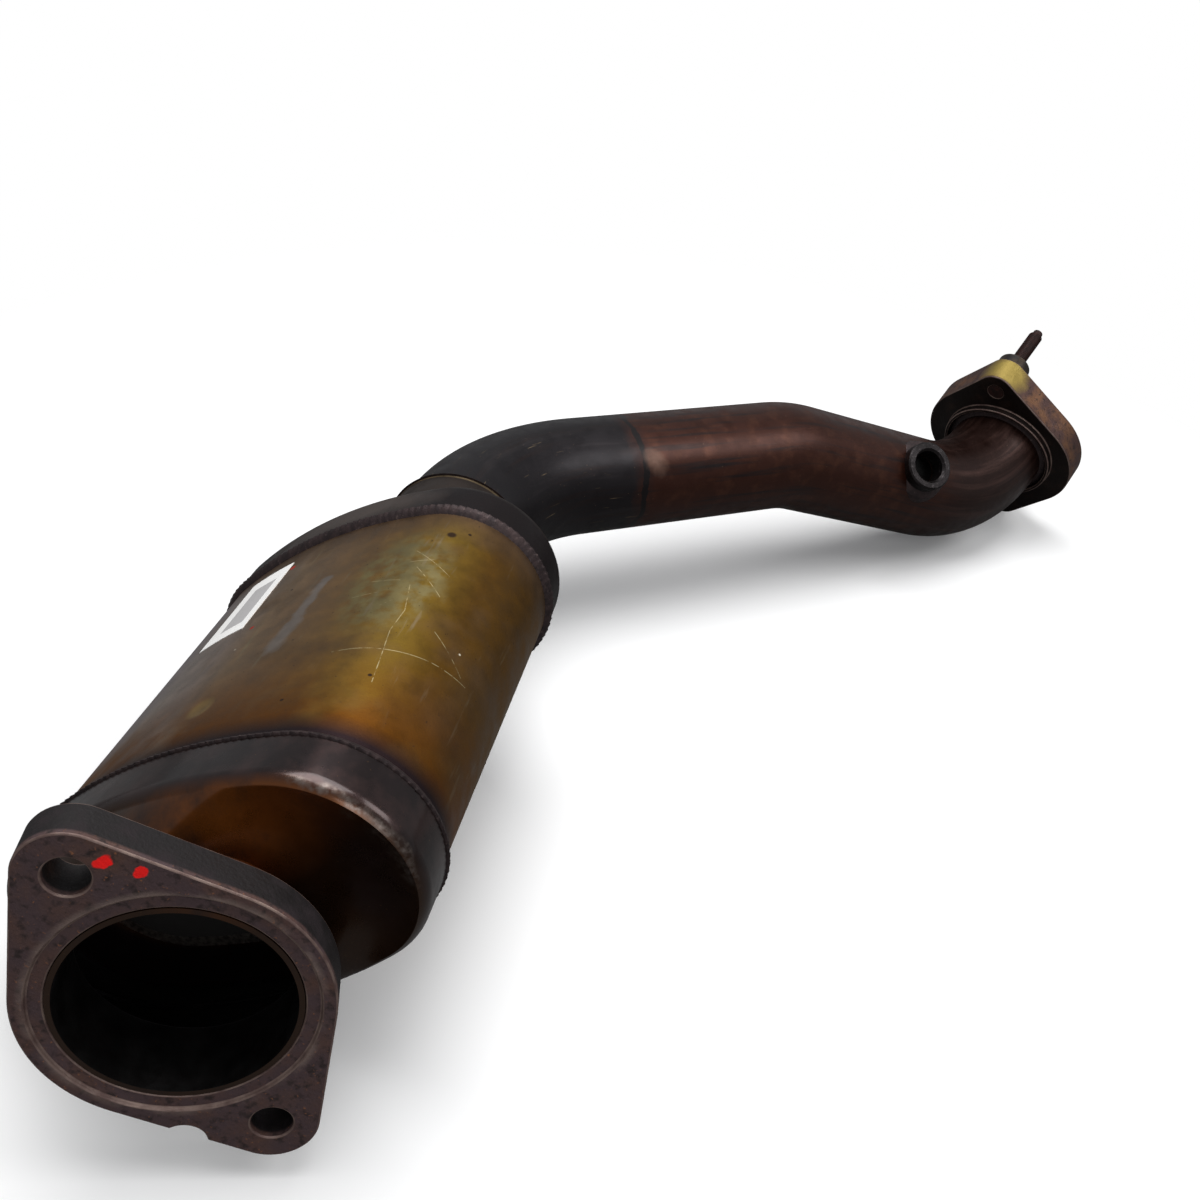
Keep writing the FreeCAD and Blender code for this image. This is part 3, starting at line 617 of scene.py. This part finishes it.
# Matt rust on thick plate
outlet_flange_finish = surface("outlet_flange_steel", paint_outlet_flange, (0.55, 0.8), 0.3, 1.2,
                               0.15)
# Oily soot inside the neck and cone, darkened further with painted shade: black, with a faint gloss
soot_and_shade_finish = surface("soot", mottled("#050404", "#0a0808", 8.0), (0.3, 0.5), 0.0, 1.5, 0.05)
# Thick plate at the inlet: satin rust with one gold tinted corner brightened as a painted
# highlight, and its back darkened as painted shade
inlet_flange_finish = surface("inlet_flange_steel", paint_inlet_flange, (0.4, 0.6), 0.6, 0.9,
                              0.08)
# Turned boss, oxidised grey
boss_finish = surface("boss_steel", mottled("#1e191a", "#151011", 5.0, "#454041"), (0.3, 0.5), 0.7,
                      0.5, 0.04)
# Rusty red-brown stud
stud_finish = surface("stud_steel", mottled("#2f130e", "#1e0e0b", 3.0, "#4a2519"), (0.5, 0.75), 0.3,
                      0.4, 0.05)
# Blackened collar
collar_finish = surface("collar_steel", mottled("#221e1d", "#3a2e22", 6.0), (0.35, 0.55), 0.6,
                        0.5, 0.03)
# Sooty cordierite honeycomb, darkened further with painted shade
ceramic_finish = surface("ceramic", paint_monolith, (0.85, 0.95), 0.0)
# Off-white fibre mat and knitted wire, both hidden
mat_finish = surface("mat_fibre", mottled("#b5a58c", "#8f8070", 4.0), (0.9, 1.0), 0.0)
seal_finish = surface("wire_seal", mottled("#77706a", "#4c4642", 1.5), (0.4, 0.6), 0.9)
# White paper with one plain grey field
label_finish = surface("label_paper", paint_label, (0.7, 0.85), 0.0)

FINISHES = {"shell_steel": shell_finish, "outlet_cone_steel": outlet_cone_finish,
            "inlet_cone_steel": inlet_cone_finish, "pipe_steel": pipe_finish,
            "weld_metal": weld_finish, "outlet_flange_steel": outlet_flange_finish,
            "inlet_flange_steel": inlet_flange_finish, "boss_steel": boss_finish,
            "stud_steel": stud_finish, "collar_steel": collar_finish, "ceramic": ceramic_finish,
            "mat_fibre": mat_finish, "wire_seal": seal_finish, "label_paper": label_finish}
slots = {part["node"]: part["material_slot"] for part in frame["record"]["subparts"]}
for node, carried in frame["nodes"].items():
    carried.data.materials.clear()
    carried.data.materials.append(FINISHES[slots[node]])
    for face in carried.data.polygons:
        face.use_smooth = True
    carried.data.set_sharp_from_angle(angle=SHARP_CARRIED_EDGE)


# ---------------------------------------------------------------- shell

AROUND = 320
ALONG = 74
DIMPLE = (25.9, -1.9)         # along the canister, and arc from its top centre
DIMPLE_REACH = 4.0
DIMPLE_DEPTH = 0.8


def arc_from_top(oval, step, count):
    """How far a point lies from the top centre round the outline, + towards +Y."""
    around = 4 * oval.quarter
    arc = oval.quarter - around * step / count
    return arc if arc >= -around / 2 else arc + around


def shell_rings():
    rings, spots = [], []
    angles = SHELL.angles(AROUND)
    start, end = -SLEEVE_OVERLAP, SHELL_LENGTH + SLEEVE_OVERLAP
    rows = [start + (end - start) * row / ALONG for row in range(ALONG + 1)]
    for depth, stations in ((0.0, rows), (SHEET, rows[::-1])):
        for x in stations:
            ring = []
            for step, angle in enumerate(angles):
                arc = arc_from_top(SHELL, step, AROUND)
                away = math.hypot(x - DIMPLE[0], arc - DIMPLE[1]) / DIMPLE_REACH
                across, up = SHELL.point(angle, depth + DIMPLE_DEPTH * math.exp(-away * away))
                ring.append(Vector((x, across, up)))
                spots.append((x, arc, 0.0))
            rings.append(ring)
    return rings, spots


rings, spots = shell_rings()
place("shell_sheet", ring_mesh("shell_sheet", rings, spots), "shell_steel", shell_finish, "shell")


# ---------------------------------------------------------------- cones

CONE_AROUND = 192
DOME = 0.65                   # share of the outlet cone's narrowing done evenly
DOME_SHOULDER = math.radians(52)
SHOULDER_STEPS, THROAT_STEPS = 12, 36
ROUND_ANGLES = [FULL_TURN * step / CONE_AROUND for step in range(CONE_AROUND)]
OVAL_ANGLES = CONE.angles(CONE_AROUND)


def section(section_frame, blend, radius, inset):
    """Points of a section between the oval and a circle."""
    points = []
    for oval_angle, round_angle in zip(OVAL_ANGLES, ROUND_ANGLES):
        oval_across, oval_up = CONE.point(oval_angle, inset)
        across = oval_across + (radius * math.cos(round_angle) - oval_across) * blend
        up = oval_up + (radius * math.sin(round_angle) - oval_up) * blend
        points.append(section_frame @ Vector((across, up, 0)))
    return points


def cone_skin(depth, bulge, skirt_start, way, neck_frame, neck_radius, neck_length):
    """Rings of one surface of a cone, from its skirt's edge to the end of its neck.

    bulge 0 is a dished throat.  Otherwise the shoulder stops part way round, and bulge is the
    share of the throat's narrowing done evenly; the rest comes late, which domes it a little.
    """
    shoulder_turn = DOME_SHOULDER if bulge else math.pi / 2
    heading = AXIS_X * way
    skirt_end = skirt_start + way * SKIRT_LENGTH
    bend = SHOULDER_RADIUS - depth
    rings = []
    for share in (0.0, 0.02, 0.5):
        centre = Vector((skirt_start + way * SKIRT_LENGTH * share, 0, 0))
        rings.append(section(make_frame(centre, heading, AXIS_Z), 0, 1, depth))
    for step in range(SHOULDER_STEPS + 1):
        turn = shoulder_turn * step / SHOULDER_STEPS
        centre = Vector((skirt_end + way * bend * math.sin(turn), 0, 0))
        inset = SHOULDER_RADIUS - bend * math.cos(turn)
        rings.append(section(make_frame(centre, heading, AXIS_Z), 0, 1, inset))
    throat_start = Vector((skirt_end + way * SHOULDER_RADIUS * math.sin(shoulder_turn), 0, 0))
    base = neck_frame.translation
    neck_way = neck_frame.to_3x3() @ AXIS_Z
    length = (base - throat_start).length
    leave = throat_start + heading * length / 3
    arrive = base - neck_way * length / 3
    for step in range(1, THROAT_STEPS + 1):
        turn = math.pi / 2 * step / THROAT_STEPS
        along = step / THROAT_STEPS if bulge else 1 - math.cos(turn)
        narrowed = bulge * along + (1 - bulge) * along ** 2 if bulge else math.sin(turn)
        back = 1 - along
        centre = (throat_start * back ** 3 + leave * 3 * along * back ** 2
                  + arrive * 3 * along ** 2 * back + base * along ** 3)
        forward = (heading * back + neck_way * along).normalized()
        thinned = math.sin(turn)
        centre = centre - forward * depth * math.cos(turn) * math.sin(shoulder_turn)
        radius = neck_radius - NECK_SIZING - depth * thinned
        inset = SHOULDER_RADIUS * (1 - math.cos(shoulder_turn)) + depth * thinned
        rings.append(section(make_frame(centre, forward, AXIS_Z), narrowed, radius, inset))
    for share in (0.0, 0.5, 0.97, 1.0):
        centre = base + neck_way * neck_length * share
        rings.append(section(make_frame(centre, neck_way, AXIS_Z), 1, neck_radius - depth, 0))
    return rings


def cone(name, *shape):
    return ring_mesh(name, cone_skin(0.0, *shape) + cone_skin(SHEET, *shape)[::-1])


behind = Vector((0, 0, -OUTLET_PLATE - OUTLET_NECK_LENGTH))
outlet_neck = OUTLET @ Matrix.Translation(behind)
outlet_neck_length = OUTLET_NECK_LENGTH + OUTLET_PLATE - GASKET_SEAT_DEPTH
outlet_mesh = cone("outlet_cone_pressing", DOME, 0.0, -1, outlet_neck, OUTLET_NECK_RADIUS,
                   outlet_neck_length)
outlet_pressing = place("outlet_cone_pressing", outlet_mesh, "outlet_cone_steel",
                        outlet_cone_finish, "outlet_cone")
# The inner skin is soot darkened further with painted shade
outlet_pressing.data.materials.append(soot_and_shade_finish)
skins = len(outlet_pressing.data.polygons)
for face in outlet_pressing.data.polygons:
    face.material_index = int(face.index >= skins // 2)
inlet_neck = make_frame(INLET_NECK_START, AXIS_X, AXIS_Z)
inlet_mesh = cone("inlet_cone_pressing", 0, SHELL_LENGTH, 1, inlet_neck, INLET_NECK_RADIUS,
                  INLET_NECK_LENGTH)
place("inlet_cone_pressing", inlet_mesh, "inlet_cone_steel", inlet_cone_finish, "inlet_cone")


# ---------------------------------------------------------------- rippled weld beads

RIPPLE = 2.6                  # from one ripple of a bead to the next
BEAD_AROUND = 960


def cone_bead(name, edge, way):
    """Convex bead round the shell at a skirt's edge, with the ripples of its passes."""
    angles = SHELL.angles(BEAD_AROUND)
    perimeter = 4 * SHELL.quarter
    ripples = round(perimeter / RIPPLE)
    profile = [(0.0, 0.0), (0.0, 0.75), (0.12, 1.0), (0.35, 0.92), (0.6, 0.66), (0.85, 0.3),
               (1.0, 0.0)]
    crown = SLEEVE + WELD_CROWN
    rings = []
    for share, height in profile:
        ring = []
        for step, angle in enumerate(angles):
            phase = (ripples * step / BEAD_AROUND + share * 0.6) % 1.0
            swell = 1.0 - 0.16 * phase * height
            across, up = SHELL.point(angle, -crown * height * swell)
            ring.append(Vector((edge + way * share * WELD_LEG * (0.94 + 0.06 * phase),
                                across, up)))
        rings.append(ring)
    return ring_mesh(name, rings)


place("outlet_bead", cone_bead("outlet_bead", 0.0, 1), "weld_metal", weld_finish,
      "outlet_cone_weld")
place("inlet_bead", cone_bead("inlet_bead", SHELL_LENGTH, -1), "weld_metal", weld_finish,
      "inlet_cone_weld")


# ---------------------------------------------------------------- bent pipe

PIPE_AROUND = 128
STRAIGHT_STEPS = 8
LEAST_BEND_STEPS, DEGREES_A_STEP = 12, 2


def route_stations():
    """Places and directions along the pipe's centre line, with the length run so far."""
    stations = []
    leave, run = ROUTE[0], 0.0
    for before, corner, after, bend in zip(ROUTE, ROUTE[1:], ROUTE[2:], BEND_RADII):
        arriving, leaving = (corner - before).normalized(), (after - corner).normalized()
        turn = arriving.angle(leaving)
        begin = corner - arriving * bend * math.tan(turn / 2)
        straight = (begin - leave).length
        stations += [(leave.lerp(begin, step / STRAIGHT_STEPS), arriving,
                      run + straight * step / STRAIGHT_STEPS) for step in range(STRAIGHT_STEPS)]
        run += straight
        axis = arriving.cross(leaving).normalized()
        hub = begin + axis.cross(arriving) * bend
        steps = max(LEAST_BEND_STEPS, round(math.degrees(turn) / DEGREES_A_STEP))
        for step in range(steps):
            part_turn = Matrix.Rotation(turn * step / steps, 3, axis)
            stations.append((hub + part_turn @ (begin - hub), part_turn @ arriving,
                             run + bend * turn * step / steps))
        run += bend * turn
        leave = corner + leaving * bend * math.tan(turn / 2)
    final = ROUTE[-1] - leave
    heading = final.normalized()
    stations += [(leave + final * step / STRAIGHT_STEPS, heading,
                  run + final.length * step / STRAIGHT_STEPS)
                 for step in range(STRAIGHT_STEPS + 1)]
    return stations


def pipe_mesh():
    rings, spots = [], []
    outer, inner = [], []
    side = AXIS_Z.cross(AXIS_X)
    heading = AXIS_X
    for centre, direction, run in route_stations():
        side = heading.rotation_difference(direction) @ side
        side = (side - direction * side.dot(direction)).normalized()
        heading = direction
        raised = direction.cross(side)
        for radius, kept in ((PIPE_RADIUS, outer), (PIPE_RADIUS - PIPE_WALL, inner)):
            ring, marks = [], []
            for step in range(PIPE_AROUND):
                turn = FULL_TURN * step / PIPE_AROUND
                ring.append(centre + (side * math.cos(turn) + raised * math.sin(turn)) * radius)
                marks.append((run, radius * math.cos(turn), radius * math.sin(turn)))
            kept.append((ring, marks))
    for ring, marks in outer + inner[::-1]:
        rings.append(ring)
        spots += marks
    return ring_mesh("inlet_pipe_tube", rings, spots)



place("inlet_pipe_tube", pipe_mesh(), "pipe_steel", pipe_finish, "inlet_pipe")


# ---------------------------------------------------------------- studs

STUD_AROUND = 48
STEPS_A_THREAD = 8

def stud_mesh(name, across, along):
    """Shank, rolled M8 thread and dog point, about a frame's Z."""
    stud = INLET @ Matrix.Translation((across, along, 0))
    shoulder = INLET_PLATE + COLLAR_HEIGHT
    tip = INLET_PLATE + STUD_PROJECTION
    dog = tip - STUD_DOG_LENGTH
    shank, radius = STUD_SHANK_DIAMETER / 2, STUD_DIAMETER / 2
    end_radius = STUD_DOG_DIAMETER / 2
    taper = dog - (radius - end_radius)
    levels = [(0.0, 0.01, 0), (0.0, shank, 0), (shoulder, shank, 0)]
    steps = round((taper - shoulder) / (THREAD_PITCH / STEPS_A_THREAD))
    levels += [(shoulder + (taper - shoulder) * step / steps, radius, 1)
               for step in range(steps + 1)]
    levels += [(dog, end_radius, 0), (tip - 0.4, end_radius, 0), (tip, end_radius - 0.4, 0),
               (tip, 0.01, 0)]
    rings = []
    for height, reach, cut in levels:
        ring = []
        for step in range(STUD_AROUND):
            turn = FULL_TURN * step / STUD_AROUND
            groove = abs(((height / THREAD_PITCH - step / STUD_AROUND) % 1.0) * 2 - 1)
            away = reach - cut * THREAD_DEPTH * groove
            ring.append(stud @ Vector((away * math.cos(turn), away * math.sin(turn), height)))
        rings.append(ring)
    return ring_mesh(name, rings, closed=False)


stud_across = INLET_SHORT_SIDE / 2 - INLET_BOLT_CORNER
stud_along = INLET_LONG_SIDE / 2 - INLET_BOLT_CORNER
for label, side_sign in (("upper_stud", 1), ("lower_stud", -1)):
    place(label + "_threaded",
          stud_mesh(label + "_threaded", -side_sign * stud_across, side_sign * stud_along),
          "stud_steel", stud_finish, label)


# ---------------------------------------------------------------- bevelled plates and collars

WORN_EDGE = surface("worn_edge", mottled("#7d6a62", "#5a4642", 5.0), (0.4, 0.6), 0.5)


def bevelled(node, width):
    """Copy of a CAD plate with its sharp edges worn round."""
    source = frame["nodes"][node].data
    shape = bmesh.new()
    shape.from_mesh(source)
    bmesh.ops.remove_doubles(shape, verts=shape.verts, dist=0.02 * MM)
    bmesh.ops.dissolve_limit(shape, angle_limit=math.radians(1), verts=shape.verts,
                             edges=shape.edges)
    bmesh.ops.recalc_face_normals(shape, faces=shape.faces)
    mesh = bpy.data.meshes.new(node + "_worn")
    shape.to_mesh(mesh)
    shape.free()
    piece = place(node + "_worn", mesh, slots[node], FINISHES[slots[node]], node)
    mesh.materials.append(WORN_EDGE)
    wear = piece.modifiers.new("wear", "BEVEL")
    wear.width = width * MM
    wear.segments = 3
    wear.limit_method = "ANGLE"
    wear.angle_limit = SHARP_EDGE
    wear.material = 1
    for face in mesh.polygons:
        face.use_smooth = True
    mesh.set_sharp_from_angle(angle=SHARP_EDGE)
    return piece


for node, width in (("outlet_flange", 0.7), ("inlet_flange", 0.8)):
    bevelled(node, width)


# ---------------------------------------------------------------- floor, light and camera

def flat_sheet(name, half, height):
    mesh = bpy.data.meshes.new(name)
    mesh.from_pydata([(-half, -half, height), (half, -half, height), (half, half, height),
                      (-half, half, height)], [], [(0, 1, 2, 3)])
    made = bpy.data.objects.new(name, mesh)
    bpy.context.scene.collection.objects.link(made)
    return made


floor = flat_sheet("floor", 4.0, 0.0)
paper = bpy.data.materials.new("pale_floor")
paper.use_nodes = True
tree = paper.node_tree
tree.nodes.clear()
seen = add(tree, "ShaderNodeLightPath", {})
spread = add(tree, "ShaderNodeTexCoord", {})
pale = add(tree, "ShaderNodeBsdfDiffuse", {"Color": srgb("#fafafa")})
dim = add(tree, "ShaderNodeBsdfDiffuse", {"Color": srgb("#6a6a6a")})
glow = add(tree, "ShaderNodeEmission", {"Color": (1, 1, 1, 1)})
near = spot(tree, spread.outputs["Object"], (0, 0, 0), (0.62, 0.5, 9.0), 0.6)
shown = add(tree, "ShaderNodeMixShader", {0: near, 1: glow.outputs[0], 2: pale.outputs[0]})
floor_look = add(tree, "ShaderNodeMixShader", {0: seen.outputs["Is Camera Ray"],
                                               1: dim.outputs[0], 2: shown.outputs[0]})
add(tree, "ShaderNodeOutputMaterial", {"Surface": floor_look.outputs[0]})
floor.data.materials.append(paper)

world = bpy.data.worlds.new("studio")
bpy.context.scene.world = world
world.use_nodes = True
tree = world.node_tree
tree.nodes.clear()
seen = add(tree, "ShaderNodeLightPath", {})
grey = add(tree, "ShaderNodeBackground", {"Color": (0.75, 0.76, 0.78, 1), "Strength": 0.42})
white = add(tree, "ShaderNodeBackground", {"Color": (1, 1, 1, 1), "Strength": 1.0})
chosen = add(tree, "ShaderNodeMixShader", {0: seen.outputs["Is Camera Ray"],
                                           1: grey.outputs[0], 2: white.outputs[0]})
add(tree, "ShaderNodeOutputWorld", {"Surface": chosen.outputs[0]})


def soft_light(name, where, towards, size, power):
    data = bpy.data.lights.new(name, "AREA")
    data.energy, data.size = power, size
    made = bpy.data.objects.new(name, data)
    bpy.context.scene.collection.objects.link(made)
    made.location = where
    made.rotation_mode = "QUATERNION"
    made.rotation_quaternion = (towards - where).to_track_quat("-Z", "Y")


middle = (loaded_low + loaded_high) / 2
soft_light("overhead", middle + Vector((0.1, 0.2, 1.3)), middle, 1.0, 17)
soft_light("side", middle + Vector((0.1, -0.9, 1.05)), middle, 0.6, 4.5)
soft_light("front", middle + Vector((-1.2, -0.5, 0.7)), middle, 0.8, 5)

CAMERA_PLACE = Vector((-230.066, -252.754, 151.86))
CAMERA_FORWARD = Vector((0.830, 0.389, -0.401))
CAMERA_UP = Vector((0.527, -0.306, 0.793))
camera_data = bpy.data.cameras.new("camera")
camera_data.lens, camera_data.sensor_width = 36.0, 36.0
camera_data.clip_start = 0.01
camera = bpy.data.objects.new("camera", camera_data)
bpy.context.scene.collection.objects.link(camera)
forward = (REST @ CAMERA_FORWARD).normalized()
right = forward.cross(REST @ CAMERA_UP).normalized()
raised = right.cross(forward)
attitude = Matrix((right, raised, -forward)).transposed()
camera.matrix_world = Matrix.LocRotScale(laid(CAMERA_PLACE), attitude.to_quaternion(), None)
bpy.context.scene.camera = camera
bpy.context.scene.view_settings.view_transform = "Standard"
